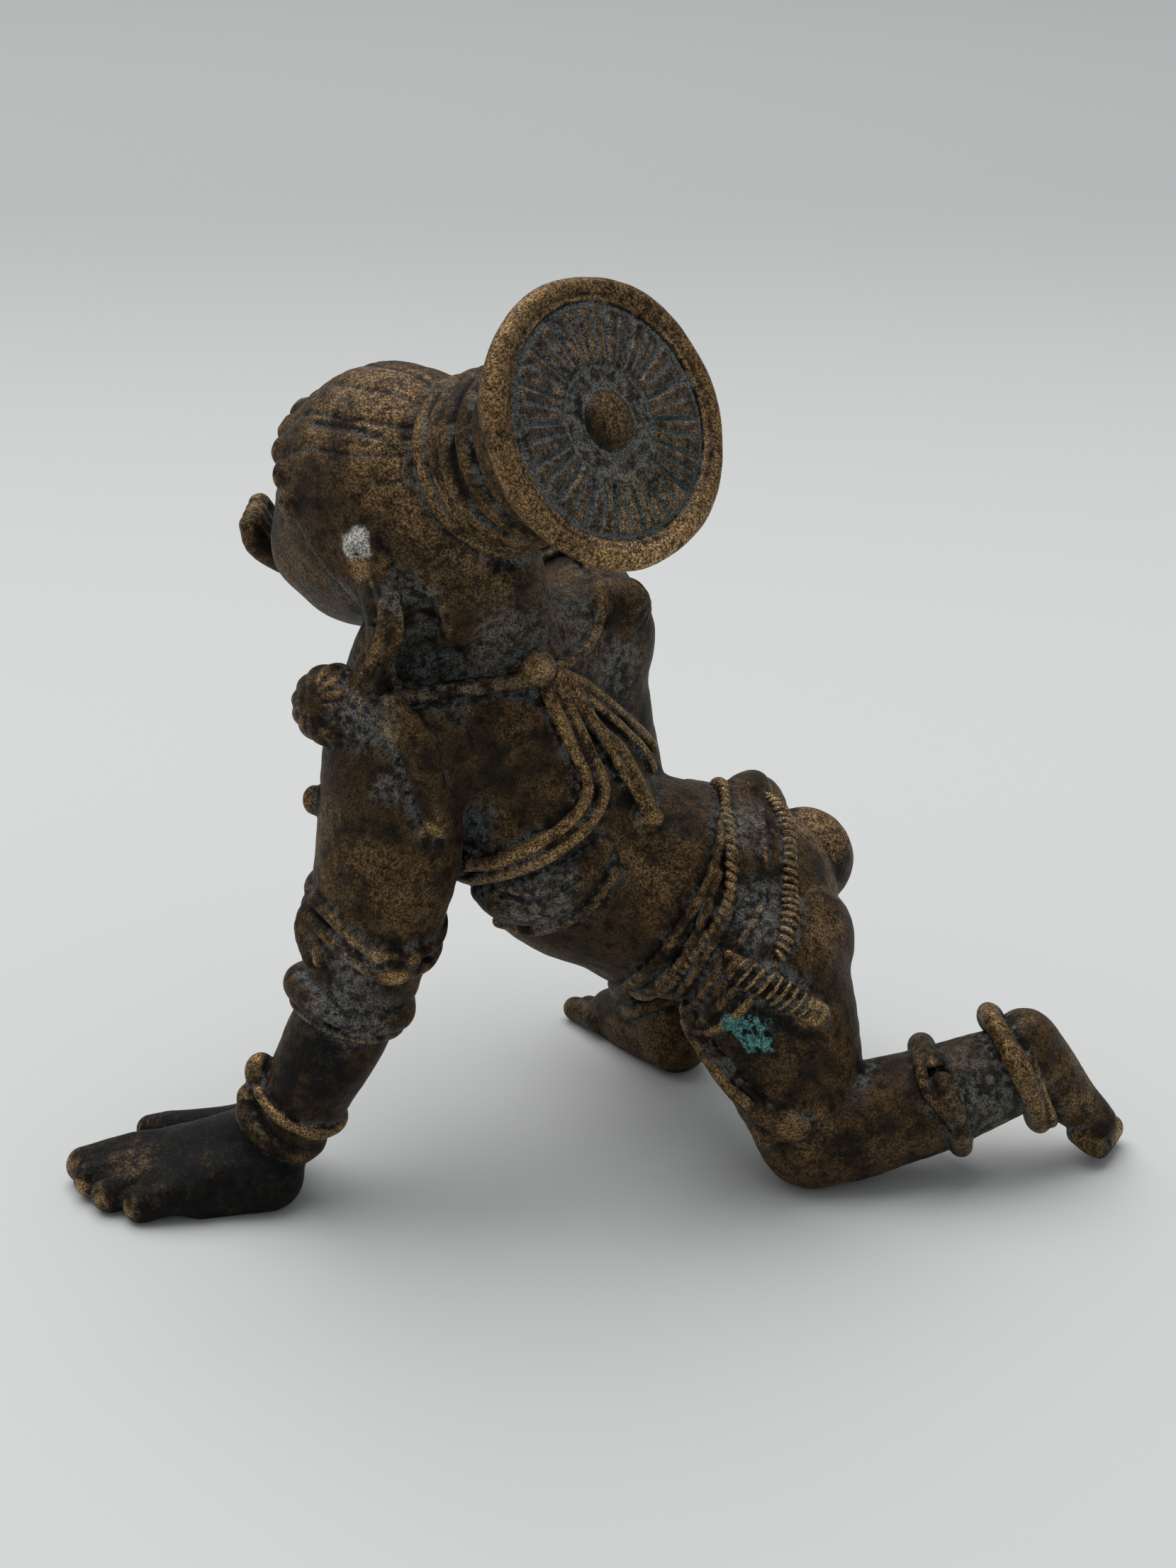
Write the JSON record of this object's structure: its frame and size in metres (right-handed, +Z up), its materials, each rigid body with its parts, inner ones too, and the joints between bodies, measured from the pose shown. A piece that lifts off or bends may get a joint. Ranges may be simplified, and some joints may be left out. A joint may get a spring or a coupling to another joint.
{
  "type": "bronze figurine",
  "caption": "Small solid cast bronze figurine of a crawling child wearing ornaments, with a disc-ended hair bun, resting on hand, knees and feet.",
  "frame": {"origin": "on the supporting surface, under the middle of the figurine's bounding box", "axes": "+Z up; the figurine crawls towards -X, so +X runs from its fingertips back to its toes; its left side faces -Y"},
  "size_m": [0.0721, 0.0376, 0.0618],
  "materials": {
    "bronze_patina": "matte dark brown patina with golden wear on the high spots and blue-grey dust in the hollows",
    "bronze_worn": "golden brown bronze rubbed bare along its raised edges",
    "bronze_verdigris": "dark bronze under a blue-grey film of verdigris",
    "bronze_dark": "near-black patina with bare golden fingertips"
  },
  "bodies": {
    "root": {"chest": "bronze_patina", "waist": "bronze_patina", "pelvis": "bronze_patina", "left_buttock": "bronze_patina", "right_buttock": "bronze_patina", "neck": "bronze_patina", "head": "bronze_patina", "left_ear": "bronze_patina", "right_ear": "bronze_patina", "hair_cap": "bronze_patina", "forehead_curls": "bronze_patina", "hair_bun": "bronze_patina", "bun_disc": "bronze_verdigris", "disc_rim": "bronze_worn", "disc_petals": "bronze_verdigris", "disc_boss": "bronze_patina", "left_earring": "bronze_patina", "right_earring": "bronze_patina", "hair_lock": "bronze_patina", "necklace": "bronze_patina", "nape_bead": "bronze_worn", "tassel": "bronze_worn", "sacred_thread": "bronze_worn", "chest_pendant": "bronze_patina", "left_upper_arm": "bronze_patina", "left_armlet": "bronze_patina", "left_elbow_ring": "bronze_patina", "left_forearm": "bronze_patina", "left_bangle": "bronze_worn", "left_wrist_ring": "bronze_patina", "left_hand": "bronze_dark", "right_upper_arm": "bronze_patina", "right_armlet": "bronze_worn", "right_forearm": "bronze_patina", "right_bangle": "bronze_worn", "right_hand": "bronze_patina", "butter_ball": "bronze_patina", "belt_band": "bronze_patina", "belt_upper_edge": "bronze_worn", "belt_lower_edge": "bronze_worn", "belt_clasp": "bronze_patina", "belt_knot": "bronze_worn", "front_sash": "bronze_patina", "left_thigh": "bronze_patina", "left_shin": "bronze_patina", "left_calf_band": "bronze_patina", "left_ankle_ring": "bronze_worn", "left_foot": "bronze_patina", "right_thigh": "bronze_patina", "right_shin": "bronze_patina", "right_ankle_ring": "bronze_patina", "right_foot": "bronze_patina"}
  },
  "joints": []
}
